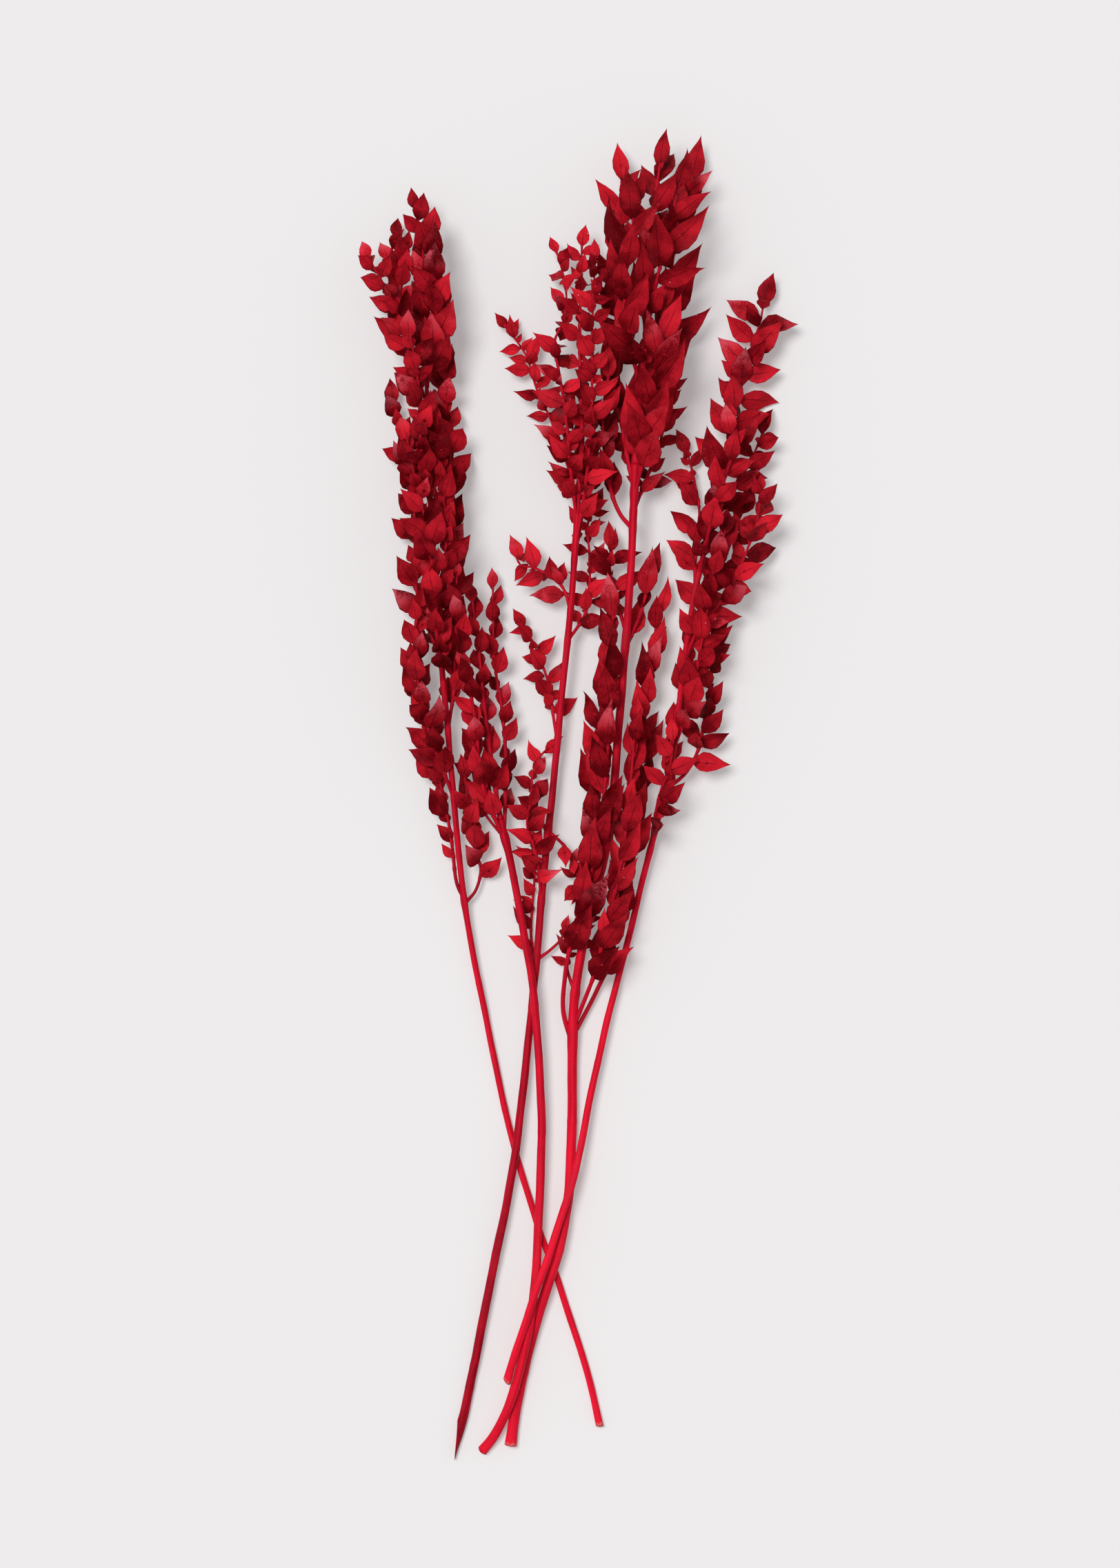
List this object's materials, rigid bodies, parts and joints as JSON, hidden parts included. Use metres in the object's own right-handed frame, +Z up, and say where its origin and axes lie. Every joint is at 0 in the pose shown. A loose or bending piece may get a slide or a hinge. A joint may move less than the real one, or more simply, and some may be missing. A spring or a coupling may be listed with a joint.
{
  "type": "bunch of dried ruscus",
  "caption": "Bunch of dried, dyed ruscus stems lying flat: bare woody stems cross near their cut ends, and leafy heads fan out at the other end.",
  "frame": {"origin": "on the surface that the bunch lies on, under the middle of its bounding box", "axes": "+Y along the bunch from the cut ends to the leafy tips, +X across it to the right with the tips pointing away from the viewer, +Z up from the surface"},
  "size_m": [0.2306, 0.7, 0.0584],
  "materials": {
    "stem": "matt, dyed",
    "leaf": "matt with a slight sheen, dyed"
  },
  "bodies": {
    "root": {"broad_leader": "leaf", "broad_shoot_1": "leaf", "broad_shoot_10": "leaf", "broad_shoot_11": "leaf", "broad_shoot_12": "leaf", "broad_shoot_13": "leaf", "broad_shoot_14": "leaf", "broad_shoot_2": "leaf", "broad_shoot_3": "leaf", "broad_shoot_4": "leaf", "broad_shoot_5": "leaf", "broad_shoot_6": "leaf", "broad_shoot_7": "leaf", "broad_shoot_8": "leaf", "broad_shoot_9": "leaf", "broad_stem": "stem", "left_leader": "leaf", "left_shoot_1": "leaf", "left_shoot_10": "leaf", "left_shoot_11": "leaf", "left_shoot_12": "leaf", "left_shoot_2": "leaf", "left_shoot_3": "leaf", "left_shoot_4": "leaf", "left_shoot_5": "leaf", "left_shoot_6": "leaf", "left_shoot_7": "leaf", "left_shoot_8": "leaf", "left_shoot_9": "leaf", "left_stem": "stem", "middle_leader": "leaf", "middle_shoot_1": "leaf", "middle_shoot_10": "leaf", "middle_shoot_11": "leaf", "middle_shoot_12": "leaf", "middle_shoot_2": "leaf", "middle_shoot_3": "leaf", "middle_shoot_4": "leaf", "middle_shoot_5": "leaf", "middle_shoot_6": "leaf", "middle_shoot_7": "leaf", "middle_shoot_8": "leaf", "middle_shoot_9": "leaf", "middle_stem": "stem", "right_leader": "leaf", "right_shoot_1": "leaf", "right_shoot_2": "leaf", "right_shoot_3": "leaf", "right_shoot_4": "leaf", "right_shoot_5": "leaf", "right_shoot_6": "leaf", "right_shoot_7": "leaf", "right_shoot_8": "leaf", "right_shoot_9": "leaf", "right_stem": "stem", "short_leader": "leaf", "short_shoot_1": "leaf", "short_shoot_2": "leaf", "short_shoot_3": "leaf", "short_stem": "stem"}
  },
  "joints": []
}
